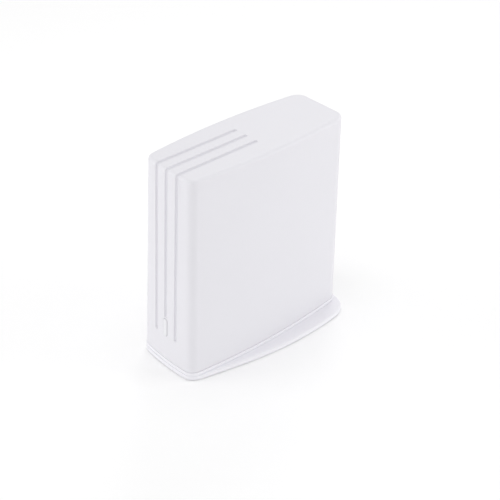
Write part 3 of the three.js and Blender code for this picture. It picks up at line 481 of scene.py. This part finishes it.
def window_outline(depth, round_by=1.0, steps=5):
    """The window's rounded rectangle, at a depth in from the back face."""
    outline = []
    for x_side, z_side, start in ((1, 1, 0), (-1, 1, 90), (-1, -1, 180), (1, -1, 270)):
        z_edge = WINDOW_HIGH if z_side > 0 else WINDOW_LOW
        for k in range(steps + 1):
            a = math.radians(start + 90 * k / steps)
            x = x_side * (WINDOW_HALF - round_by) + round_by * math.cos(a)
            z = z_edge - z_side * round_by + round_by * math.sin(a)
            outline.append((x, rear_y(z) + depth, z))
    return outline


cut_away(cover, *loft([window_outline(5), window_outline(-WALL - 3)], True, True))
dress(cover, cover_white, "case", (), 40)

# ---- Light bar ----
# The milky guide that shows the four status lamps: a clear moulding whose domed, round-ended nose
# stands a little proud of the front, and whose blade runs back to the edge of the board.

GUIDE_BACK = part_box("light_guide")[1].y / MM


def bar_ring(inset, y):
    return stadium(BAR_HALF - inset, BAR_LOW + inset, BAR_HIGH - inset, y, 12)


def bar_front_y(z):
    return NOSE + FRONT_LEAN * (z - SEAM)


dome = ((1.9, -0.06), (1.2, 0), (0.7, 0.08), (0.35, 0.25), (0.12, 0.5), (0, 0.85), (0, 8))
bar_rings = []
for inset, depth in dome:
    ring = bar_ring(inset, 0)
    bar_rings.append([(x, bar_front_y(z) - BAR_PROUD + depth, z) for x, y, z in ring])
blade = [(x, GUIDE_BACK, z) for x, y, z in bar_ring(0, 0)]
bar_points, bar_faces = loft(bar_rings + [blade], True, True)
light_white = moulded("light_plastic", shade(231, 231, 235), shade(236, 236, 239), 0.3, 0.5, 0.004)
light_bar = piece(
    "light_bar", bar_points, bar_faces, light_white, "light_plastic", stands_for=["light_guide"]
)

# ---- Foot ----
# One white moulding: a plinth that carries the cover's lower edge, on a leaf-shaped base that
# spreads to both sides. The leaf's rim is fully rounded, and a fine groove marks off the plinth.

FOOT_NOSE, FOOT_TAIL = (corner.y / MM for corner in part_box("foot"))
FOOT_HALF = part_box("foot")[1].x / MM
FOOT_BOTTOM, PLINTH_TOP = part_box("foot")[0].z / MM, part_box("foot")[1].z / MM + 0.28
FOOT_FRONT_HALF, FOOT_REAR_HALF = 41.5, 55.8
FOOT_WIDEST = FOOT_NOSE + 0.6473 * (FOOT_TAIL - FOOT_NOSE)
FOOT_CORNER, FOOT_CORNER_WIDTH = 17.7, 12.5
FOOT_REAR_CORNER, FOOT_REAR_CORNER_WIDTH = 20.3, 25.8
LEAF_TOP = 5.8
RIM_ROUND = 2.6
REVEAL = 0.6
PLINTH_ROUND = 0.9
FOOT_FILLET = 0.3
FOOT_UNDERCUT = 1.5
FOOT_WALL = 4.0
POCKET_ROOF = 3.4


def leaf_outline(steps=60):
    """The leaf's right half from the middle of its front to the middle of its tail."""
    corner_x = FOOT_FRONT_HALF - FOOT_CORNER_WIDTH
    corner_y = FOOT_NOSE + bow(corner_x)
    shoulder, rear = FOOT_NOSE + FOOT_CORNER, FOOT_TAIL - FOOT_REAR_CORNER
    rear_x = FOOT_REAR_HALF - FOOT_REAR_CORNER_WIDTH
    spread = (FOOT_HALF - FOOT_FRONT_HALF) / 2
    curves = [
        [(0, FOOT_NOSE), (corner_x / 2, FOOT_NOSE), (corner_x, corner_y)],
        [
            (corner_x, corner_y),
            (FOOT_FRONT_HALF - 6.5, corner_y + 1.2),
            (FOOT_FRONT_HALF - 1.9, FOOT_NOSE + FOOT_CORNER / 2),
            (FOOT_FRONT_HALF, shoulder),
        ],
        [
            (FOOT_FRONT_HALF, shoulder),
            (FOOT_FRONT_HALF + spread, shoulder + 38),
            (FOOT_HALF, FOOT_WIDEST - 42),
            (FOOT_HALF, FOOT_WIDEST),
        ],
        [
            (FOOT_HALF, FOOT_WIDEST),
            (FOOT_HALF, FOOT_WIDEST + 20),
            (FOOT_REAR_HALF + 2.2, rear - 12),
            (FOOT_REAR_HALF, rear),
        ],
        [
            (FOOT_REAR_HALF, rear),
            (FOOT_REAR_HALF - 2.3, rear + 12),
            (FOOT_REAR_HALF - 11.8, FOOT_TAIL),
            (rear_x, FOOT_TAIL),
        ],
    ]
    runs = [bezier(curve, np.linspace(0, 1, steps + 1)[:-1])[0] for curve in curves]
    return np.concatenate([*runs, [[rear_x, FOOT_TAIL], [0, FOOT_TAIL]]])


def reach_to(outline, start, direction):
    """How far a point lies inside an outline, measured along a direction."""
    a, b = outline[:-1], outline[1:]
    edge = b - a
    across = direction[0] * edge[:, 1] - direction[1] * edge[:, 0]
    across = np.where(np.abs(across) < 1e-12, 1e-12, across)
    offset = a - start
    along = (offset[:, 0] * edge[:, 1] - offset[:, 1] * edge[:, 0]) / across
    share = (offset[:, 0] * direction[1] - offset[:, 1] * direction[0]) / across
    hits = along[(share > -1e-6) & (share < 1 + 1e-6) & (along > -3)]
    return max(0.0, float(hits.min())) if len(hits) else 0.0


half_front = np.linspace(0.5, FRONT_FLAT - 0.5, 12)
plinth_places, plinth_out = right_side(half_front, 14, np.linspace(SIDE_FRONT, SIDE_REAR - 2, 44), 26)
rear_x = np.linspace(REAR_FLAT, 0.6, 10)[1:]
plinth_places = np.concatenate([plinth_places, np.stack([rear_x, np.full_like(rear_x, LENGTH)], 1)])
plinth_out = np.concatenate([plinth_out, np.tile([0, 1.0], (len(rear_x), 1))])
plinth_places = plinth_places + REVEAL * plinth_out + [0, NOSE]
leaf_edge = leaf_outline()
leaf_edge = np.concatenate([leaf_edge, leaf_edge[::-1] * [-1, 1]])
reach = np.array([reach_to(leaf_edge, p, d) for p, d in zip(plinth_places, plinth_out)])
places = np.concatenate([plinth_places, plinth_places[::-1] * [-1, 1]])
outward = np.concatenate([plinth_out, plinth_out[::-1] * [-1, 1]])
reach = np.concatenate([reach, reach[::-1]])
fillet = np.minimum(FOOT_FILLET, 0.35 * reach)
rim = np.minimum(RIM_ROUND, reach - fillet)


def foot_ring(distance, height):
    flat = places + outward * np.broadcast_to(distance, len(places))[:, None]
    return np.column_stack([flat, np.broadcast_to(height, len(places))])


quarter_turn = np.radians(np.linspace(0, 90, 6))
foot_rings = [foot_ring(-5, PLINTH_TOP)]
foot_rings += [
    foot_ring(-PLINTH_ROUND * (1 - math.sin(a)), PLINTH_TOP - PLINTH_ROUND * (1 - math.cos(a)))
    for a in quarter_turn
]
fine_groove = ((0, 0.6), (-0.1, 0.5), (-0.4, 0.42), (-0.45, 0.1), (-0.3, -0.12), (0, -0.05))
foot_rings += [foot_ring(distance, LEAF_TOP + rise) for distance, rise in fine_groove]
foot_rings.append(foot_ring(fillet, LEAF_TOP))
foot_rings += [
    foot_ring(reach - rim * (1 - math.sin(a)), LEAF_TOP - RIM_ROUND * (1 - math.cos(a)))
    for a in np.radians(np.linspace(0, 90, 9))
]
for a in quarter_turn:
    inward, upward = FOOT_UNDERCUT * (1 - math.cos(a)), FOOT_UNDERCUT * (1 - math.sin(a))
    foot_rings.append(foot_ring(reach - inward, FOOT_BOTTOM + upward))
foot_rings.append(foot_ring(reach - FOOT_WALL + 0.3, FOOT_BOTTOM))
foot_rings.append(foot_ring(reach - FOOT_WALL, FOOT_BOTTOM + 0.3))
foot_rings.append(foot_ring(reach - FOOT_WALL, POCKET_ROOF))
# The foot's white is set lighter than the cover's same white plastic: painted fill light that makes up
# for the shade the cover casts on the leaf.
foot_white_painted_fill = moulded("foot_plastic", shade(239, 238, 243), shade(244, 243, 248), 0.48, 0.3, 0.012)
foot_points, foot_faces = loft(foot_rings, True, True)
foot = piece("foot_shell", foot_points, foot_faces, foot_white_painted_fill, "foot_plastic", stands_for=["foot"])

# ---- Base plate, rubber feet and foot screws ----
# A flat moulded plate closes the foot from below. Four screws go up through it into the cover and
# the carrier, their heads sunk in holes, and four soft discs are stuck in shallow seats.


def refined(node, name, finish, edge, body="case", crease=35):
    """A piece with its CAD node's own shape, and with its edges rounded by this many millimetres."""
    mesh = bpy.data.meshes.new(name)
    work = bmesh.new()
    work.from_mesh(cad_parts[node].data)
    bmesh.ops.remove_doubles(work, verts=work.verts, dist=2e-6)
    flat = {"angle_limit": math.radians(1), "verts": work.verts[:], "edges": work.edges[:]}
    bmesh.ops.dissolve_limit(work, **flat)
    limit = math.radians(crease)
    sharp = [e for e in work.edges if len(e.link_faces) == 2 and e.calc_face_angle(0) > limit]
    bmesh.ops.bevel(
        work, geom=sharp, offset=edge * MM, segments=2, profile=0.6, affect="EDGES",
        clamp_overlap=True,
    )
    work.to_mesh(mesh)
    work.free()
    if mesh.attributes.get("custom_normal"):
        mesh.attributes.remove(mesh.attributes["custom_normal"])
    made = bpy.data.objects.new(name, mesh)
    bpy.context.scene.collection.objects.link(made)
    return dress(made, finish, body, [node], crease)


def rings_round(profile, place, sides=48, swell=None):
    """Rings of a turned piece: place(across, up, along) puts a point of its own axis in the frame."""
    rings = []
    for radius, along in profile:
        ring = []
        for i in range(sides):
            turn = 2 * math.pi * i / sides
            reach = radius if swell is None else swell(radius, turn, along)
            ring.append(place(reach * math.cos(turn), reach * math.sin(turn), along))
        rings.append(ring)
    return rings


plate_white = moulded("inner_plastic", shade(196, 197, 200), shade(205, 206, 209), 0.55, 0.4, 0.015)
refined("foot_base_plate", "base_plate", plate_white, 0.25)

rubber = Finish("rubber")
rubber_bloom = rubber.noise(9, 3, 0.6)
rubber_grit = rubber.noise(0.25, 3, 0.6)
rubber_tone = rubber.blend(rubber_bloom, shade(82, 84, 87), shade(101, 103, 106))
rubber.surface(rubber_tone, 0.82 + rubber_grit * 0.15, rubber_grit, 0.02)

for number in range(1, 5):
    low, high = (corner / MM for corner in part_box(f"rubber_foot_{number}"))
    middle, radius = (low + high) / 2, (high.x - low.x) / 2
    round_by = 0.35
    profile = [(radius * 0.6, 0.12), (radius * 0.72, 0.0)]
    profile += [
        (radius - round_by * (1 - math.sin(a)), round_by * (1 - math.cos(a)))
        for a in np.radians(np.linspace(0, 90, 6))
    ]
    profile += [(radius, high.z - 0.1), (radius - 0.1, high.z)]

    def pad_place(across, up, along, middle=middle):
        return (middle.x + across, middle.y + up, along)

    piece(
        f"rubber_pad_{number}", *loft(rings_round(profile, pad_place), True, True), rubber,
        "rubber", stands_for=[f"rubber_foot_{number}"],
    )

steel = Finish("steel", Metallic=1.0)
steel_clouds = steel.noise(2.5, 3, 0.6)
steel_rings = steel.noise(0.12, 2, 0.5)
steel_tone = steel.blend(steel_clouds, shade(172, 173, 176), shade(204, 205, 207))
steel.surface(steel_tone, 0.28 + steel_rings * 0.22, steel_rings, 0.004)


def cross_tool(middle, reach, half, low, high):
    """A cross-shaped driver tip, as the outline of its twelve corners."""
    corners = [(reach, half), (half, half), (half, reach)]
    outline = []
    for quarter in range(4):
        c, s = math.cos(quarter * math.pi / 2), math.sin(quarter * math.pi / 2)
        outline += [(c * x - s * y, s * x + c * y) for x, y in corners]
    ends = [[(middle.x + x, middle.y + y, z) for x, y in outline] for z in (low, high)]
    return loft(ends, True, True)


for number in range(1, 5):
    low, high = (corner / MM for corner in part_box(f"foot_screw_{number}"))
    middle, radius = (low + high) / 2, (high.x - low.x) / 2
    head, shank = 1.9, 1.4
    crown = np.radians((25, 50, 70, 84, 90))
    profile = [(0.02, low.z)]
    profile += [(radius * math.sin(a), low.z + 0.95 * (1 - math.cos(a))) for a in crown]
    profile += [(radius, low.z + head - 0.1), (radius - 0.1, low.z + head), (shank, low.z + head)]
    turns = np.arange(low.z + head + 0.5, high.z - 1.2, 0.55)
    for z in turns:
        profile += [(shank - 0.22, z - 0.22), (shank, z)]
    profile += [(shank - 0.3, high.z - 0.9), (0.05, high.z)]

    def screw_place(across, up, along, middle=middle):
        return (middle.x + across, middle.y + up, along)

    screw = piece(
        f"foot_screw_steel_{number}", *loft(rings_round(profile, screw_place, 32), True, True),
        steel, "steel", stands_for=[f"foot_screw_{number}"],
    )
    cut_away(screw, *cross_tool(middle, 1.7, 0.42, low.z - 1, low.z + 1.15))
    dress(screw, steel, "case", (), 40)

# ---- Socket panel ----
# A separate matt moulding held behind the window of the cover by its lip, with an opening for each
# socket, a pinhole for the reset button and a stack of slots that let warm air out.

panel_white = moulded("panel_plastic", shade(216, 216, 220), shade(223, 223, 227), 0.52, 0.35, 0.016)
refined("rear_panel", "socket_panel", panel_white, 0.3)

# ---- Data and telephone sockets ----
# Glass-filled housings soldered to the board, grey for data and black for the telephone. Gilded
# wires slope up from a strip deep inside each one.

jack_grey = moulded("jack_grey", shade(128, 131, 135), shade(140, 143, 147), 0.42, 0.2, 0.006)
jack_black = moulded("jack_black", shade(28, 29, 31), shade(40, 41, 43), 0.38, 0.2, 0.006)
gold = Finish("gold", Metallic=1.0)
gold_clouds = gold.noise(1.2, 3, 0.6)
gold_tone = gold.blend(gold_clouds, shade(214, 178, 96), shade(235, 204, 128))
gold.surface(gold_tone, 0.2 + gold_clouds * 0.18, gold.noise(0.1), 0.002)


def carried(node, finish):
    """Keeps a CAD node as it is, in a better finish."""
    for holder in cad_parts[node].material_slots:
        holder.material = finish.material


for number in (1, 2):
    refined(f"lan_jack_{number}", f"data_socket_{number}", jack_grey, 0.22)
    refined(f"phone_jack_{number}", f"phone_socket_{number}", jack_black, 0.22)
    carried(f"lan_contacts_{number}", gold)
    carried(f"phone_contacts_{number}", gold)

# ---- Power inlet, power switch and reset button ----
# Black housings on the board's rear edge. The rocker tips on two pivots in its well; the reset
# plunger sits behind the pinhole.

nickel = Finish("nickel", Metallic=1.0)
nickel_clouds = nickel.noise(3, 3, 0.6)
nickel_marks = nickel.noise(0.15, 2, 0.6)
nickel_tone = nickel.blend(nickel_clouds, shade(190, 188, 182), shade(214, 212, 207))
nickel.surface(nickel_tone, 0.16 + nickel_marks * 0.2, nickel_marks, 0.003)

refined("power_inlet", "inlet_housing", jack_black, 0.25)
carried("power_inlet_pin", nickel)
refined("power_switch_body", "switch_housing", jack_black, 0.3)
refined("power_rocker", "switch_rocker", jack_black, 0.45, body="power_rocker")
carried("reset_plunger", plate_white)

# ---- Coax connector ----
# Turned and nickel-plated brass with a rolled thread, clamped to the panel by a thin hexagon nut.
# A white insulator fills the bore round a sprung gilt contact.

BACK = NOSE + LENGTH
back_tilt = math.atan(REAR_LEAN)
coax_low, coax_high = (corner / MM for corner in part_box("coax_connector"))
COAX_X = (coax_low.x + coax_high.x) / 2
COAX_UP = 26.0
COAX_REACH = 9.0
BARREL = 4.75
BORE = 3.1
THREAD_PITCH = 0.79
THREAD_DEPTH = 0.42


def at_back(across, up, out):
    """A place counted from the middle of the back face: sideways, up along it and out from it."""
    y = BACK + out * math.cos(back_tilt) + up * math.sin(back_tilt)
    return (across, y, SEAM - out * math.sin(back_tilt) + up * math.cos(back_tilt))


def coax_place(across, up, along):
    return at_back(COAX_X + across, COAX_UP + up, along)


def threaded(radius, turn, along):
    if radius < BARREL - 0.01 or along < 0.2:
        return radius
    phase = (along / THREAD_PITCH + turn / (2 * math.pi)) % 1
    fade = min(1, (COAX_REACH - 0.5 - along) / 0.6, (along - 0.2) / 0.4)
    return radius - THREAD_DEPTH * abs(2 * phase - 1) * max(0, fade)


barrel = [(5.6, -16.5), (5.6, -4.7), (BARREL, -4.6), (BARREL, 0.1)]
barrel += [(BARREL, out) for out in np.arange(0.3, COAX_REACH - 0.45, THREAD_PITCH / 8)]
barrel += [(BARREL - 0.1, COAX_REACH - 0.3), (BARREL - 0.45, COAX_REACH), (BORE + 0.2, COAX_REACH)]
barrel += [(BORE, COAX_REACH - 0.2), (BORE, -8.0)]
piece(
    "coax_barrel", *loft(rings_round(barrel, coax_place, 72, threaded), True, True), nickel,
    "nickel", stands_for=["coax_connector"], crease=50,
)

NUT_RADIUS = 6.6
NUT_LOW, NUT_HIGH = -0.2, 2.2


def hexagon(radius, turn, along):
    if radius < NUT_RADIUS - 1:
        return radius
    past_corner = (turn + math.pi / 2) % (math.pi / 3)
    flat = NUT_RADIUS * math.cos(math.pi / 6) / math.cos(past_corner - math.pi / 6)
    chamfer = min(along - NUT_LOW, NUT_HIGH - along)
    return min(flat, NUT_RADIUS - 0.75 + 1.7 * chamfer)


nut_section = [(BARREL + 0.3, NUT_LOW)]
flank = (-0.2, -0.05, 0.1, 0.25, 0.4, 1.6, 1.75, 1.9, 2.05, 2.2)
nut_section += [(NUT_RADIUS, along) for along in flank]
nut_section += [(BARREL + 0.5, NUT_HIGH), (BARREL + 0.3, NUT_HIGH - 0.2)]
nut_rings = rings_round(nut_section, coax_place, 72, hexagon)
nut_points, nut_faces = loft(nut_rings + [nut_rings[0]])
piece("coax_hexagon", nut_points, nut_faces, nickel, "nickel", stands_for=["coax_nut"], crease=30)

ptfe = moulded("insulator", shade(238, 238, 234), shade(244, 244, 240), 0.35, 0.3, 0.003)
carried("coax_insulator", ptfe)
carried("coax_contact", gold)

# ---- Board and carrier ----
# A grey frame stands on the plinth and holds the green board upright. Everything on the board is
# soldered to one face: processor under its heat sink, memory, power parts and the tuner's can.

board_green = Finish("circuit_board", Coat_Weight=0.3, Coat_Roughness=0.2)
track_cells = board_green.node(
    "TexBrick", {"offset": 0.5, "squash": 1.0},
    {"Vector": board_green.stretched(0, 1, 1), "Scale": 260.0, "Mortar Size": 0.03,
     "Color1": (1, 1, 1, 1), "Color2": (0.6, 0.6, 0.6, 1), "Mortar": (0, 0, 0, 1)},
)
weave = board_green.noise(0.6, 2, 0.5)
mask_tone = board_green.blend(weave, shade(28, 84, 52), shade(38, 104, 66))
board_tone = board_green.blend(track_cells * 0.35, shade(22, 70, 44), mask_tone)
board_green.surface(board_tone, 0.35 + weave * 0.15, track_cells * 0.6 + weave * 0.4, 0.02)

chip_black = Finish("chip_black")
chip_grit = chip_black.noise(0.2, 3, 0.7)
chip_tone = chip_black.blend(chip_black.noise(6, 3), shade(26, 26, 28), shade(38, 38, 40))
chip_black.surface(chip_tone, 0.5 + chip_grit * 0.2, chip_grit, 0.012)

ferrite = Finish("ferrite")
ferrite_grit = ferrite.noise(0.3, 4, 0.7)
ferrite_tone = ferrite.blend(ferrite_grit, shade(48, 49, 52), shade(70, 71, 74))
ferrite.surface(ferrite_tone, 0.6 + ferrite_grit * 0.25, ferrite_grit, 0.03)

thermal_pad = Finish("thermal_pad")
pad_grit = thermal_pad.noise(0.5, 3, 0.6)
pad_tone = thermal_pad.blend(pad_grit, shade(104, 132, 150), shade(122, 150, 168))
thermal_pad.surface(pad_tone, 0.8 + pad_grit * 0.15, pad_grit, 0.03)

aluminium = Finish("aluminium", Metallic=1.0)
drawn = aluminium.noise(0.3, 3, 0.6, aluminium.stretched(1, 1, 0.04))
aluminium_tone = aluminium.blend(aluminium.noise(8, 3), shade(188, 190, 193), shade(208, 210, 212))
aluminium.surface(aluminium_tone, 0.34 + drawn * 0.2, drawn, 0.006)

tin_plate = Finish("tin_plate", Metallic=1.0)
tin_clouds = tin_plate.noise(4, 3)
tin_tone = tin_plate.blend(tin_clouds, shade(182, 184, 187), shade(206, 208, 210))
tin_plate.surface(tin_tone, 0.3 + tin_clouds * 0.2, tin_plate.noise(0.3, 3), 0.005)

led_clear = Finish("led_clear")
led_clouds = led_clear.noise(0.6, 3)
led_tone = led_clear.blend(led_clouds, shade(232, 236, 222), shade(244, 247, 236))
led_clear.surface(led_tone, 0.14 + led_clouds * 0.12, led_clouds, 0.004)

board_parts = {
    "board_carrier": plate_white,
    "main_board": board_green,
    "heat_sink": aluminium,
    "thermal_pad": thermal_pad,
    "tuner_shield": tin_plate,
    "modem_processor": chip_black,
    "memory_chip_1": chip_black,
    "memory_chip_2": chip_black,
    "flash_chip": chip_black,
    "line_interface_chip": chip_black,
    "lan_transformer_1": chip_black,
    "lan_transformer_2": chip_black,
    "reset_switch_body": chip_black,
    "power_inductor_1": ferrite,
    "power_inductor_2": ferrite,
}
for number in range(1, 5):
    board_parts[f"board_screw_{number}"] = steel
    board_parts[f"status_led_{number}"] = led_clear
for number in range(1, 4):
    board_parts[f"power_capacitor_{number}"] = tin_plate
for node, finish in board_parts.items():
    carried(node, finish)

# ---- Studio ----
# A pale seamless floor, a broad soft light over the object and a camera on a tripod.

floor_finish = Finish("studio_floor")
floor_tone = floor_finish.blend(floor_finish.noise(400, 2), shade(252, 252, 252), shade(254, 254, 254))
floor_finish.surface(floor_tone, 0.9, Emission_Color=(1, 1, 1, 1), Emission_Strength=0.042)
bpy.ops.mesh.primitive_plane_add(size=6, location=(0, 0, 0))
floor = bpy.context.active_object
floor.name = "studio_floor"
floor.data.materials.append(floor_finish.material)

world = bpy.data.worlds.new("studio")
bpy.context.scene.world = world
world.use_nodes = True
world.node_tree.nodes["Background"].inputs["Color"].default_value = (1, 1, 1, 1)
world.node_tree.nodes["Background"].inputs["Strength"].default_value = 0.65


def soft_light(name, place, aim, size, power):
    data = bpy.data.lights.new(name, "AREA")
    data.shape = "DISK"
    data.size = size
    data.energy = power
    lamp = bpy.data.objects.new(name, data)
    bpy.context.scene.collection.objects.link(lamp)
    lamp.location = place
    lamp.rotation_mode = "QUATERNION"
    lamp.rotation_quaternion = (Vector(aim) - Vector(place)).to_track_quat("-Z", "Y")
    return lamp


soft_light("front_left", (-1.3, -1.5, 0.7), (0, 0, 0.1), 1.2, 6.0)
soft_light("front", (0.2, -2.0, 0.5), (0, 0, 0.1), 1.2, 4.4)
soft_light("right_rear", (1.45, 1.45, 0.5), (0, 0, 0.1), 1.2, 10.4)
soft_light("left_rear", (-1.0, 1.2, 1.5), (0, 0, 0.1), 0.9, 4.0)
soft_light("front_right", (1.3, -1.6, 0.4), (0, 0, 0.1), 1.2, 0.7)
soft_light("overhead", (0, 0, 2.2), (0, 0, 0.1), 1.4, 9.1)

azimuth, elevation = math.radians(48.373), math.radians(34.08)
level = math.cos(elevation)
back = Vector((math.sin(azimuth) * level, -math.cos(azimuth) * level, math.sin(elevation)))
right = Vector((math.cos(azimuth), math.sin(azimuth), 0))
up = back.cross(right)
LENS, SENSOR = 86.4, 36.0
DISTANCE = 1.1826
AIM_RIGHT, AIM_DOWN = 0.00785, 0.01429
target = Vector((0, (NOSE + LENGTH / 2) * MM, 0.110)) + right * AIM_RIGHT - up * AIM_DOWN
camera_data = bpy.data.cameras.new("camera")
camera_data.sensor_width = SENSOR
camera_data.lens = LENS
camera = bpy.data.objects.new("camera", camera_data)
bpy.context.scene.collection.objects.link(camera)
camera.location = target + back * DISTANCE
camera.rotation_mode = "QUATERNION"
camera.rotation_quaternion = Matrix((right, up, back)).transposed().to_quaternion()
bpy.context.scene.camera = camera
bpy.context.scene.view_settings.view_transform = "Standard"
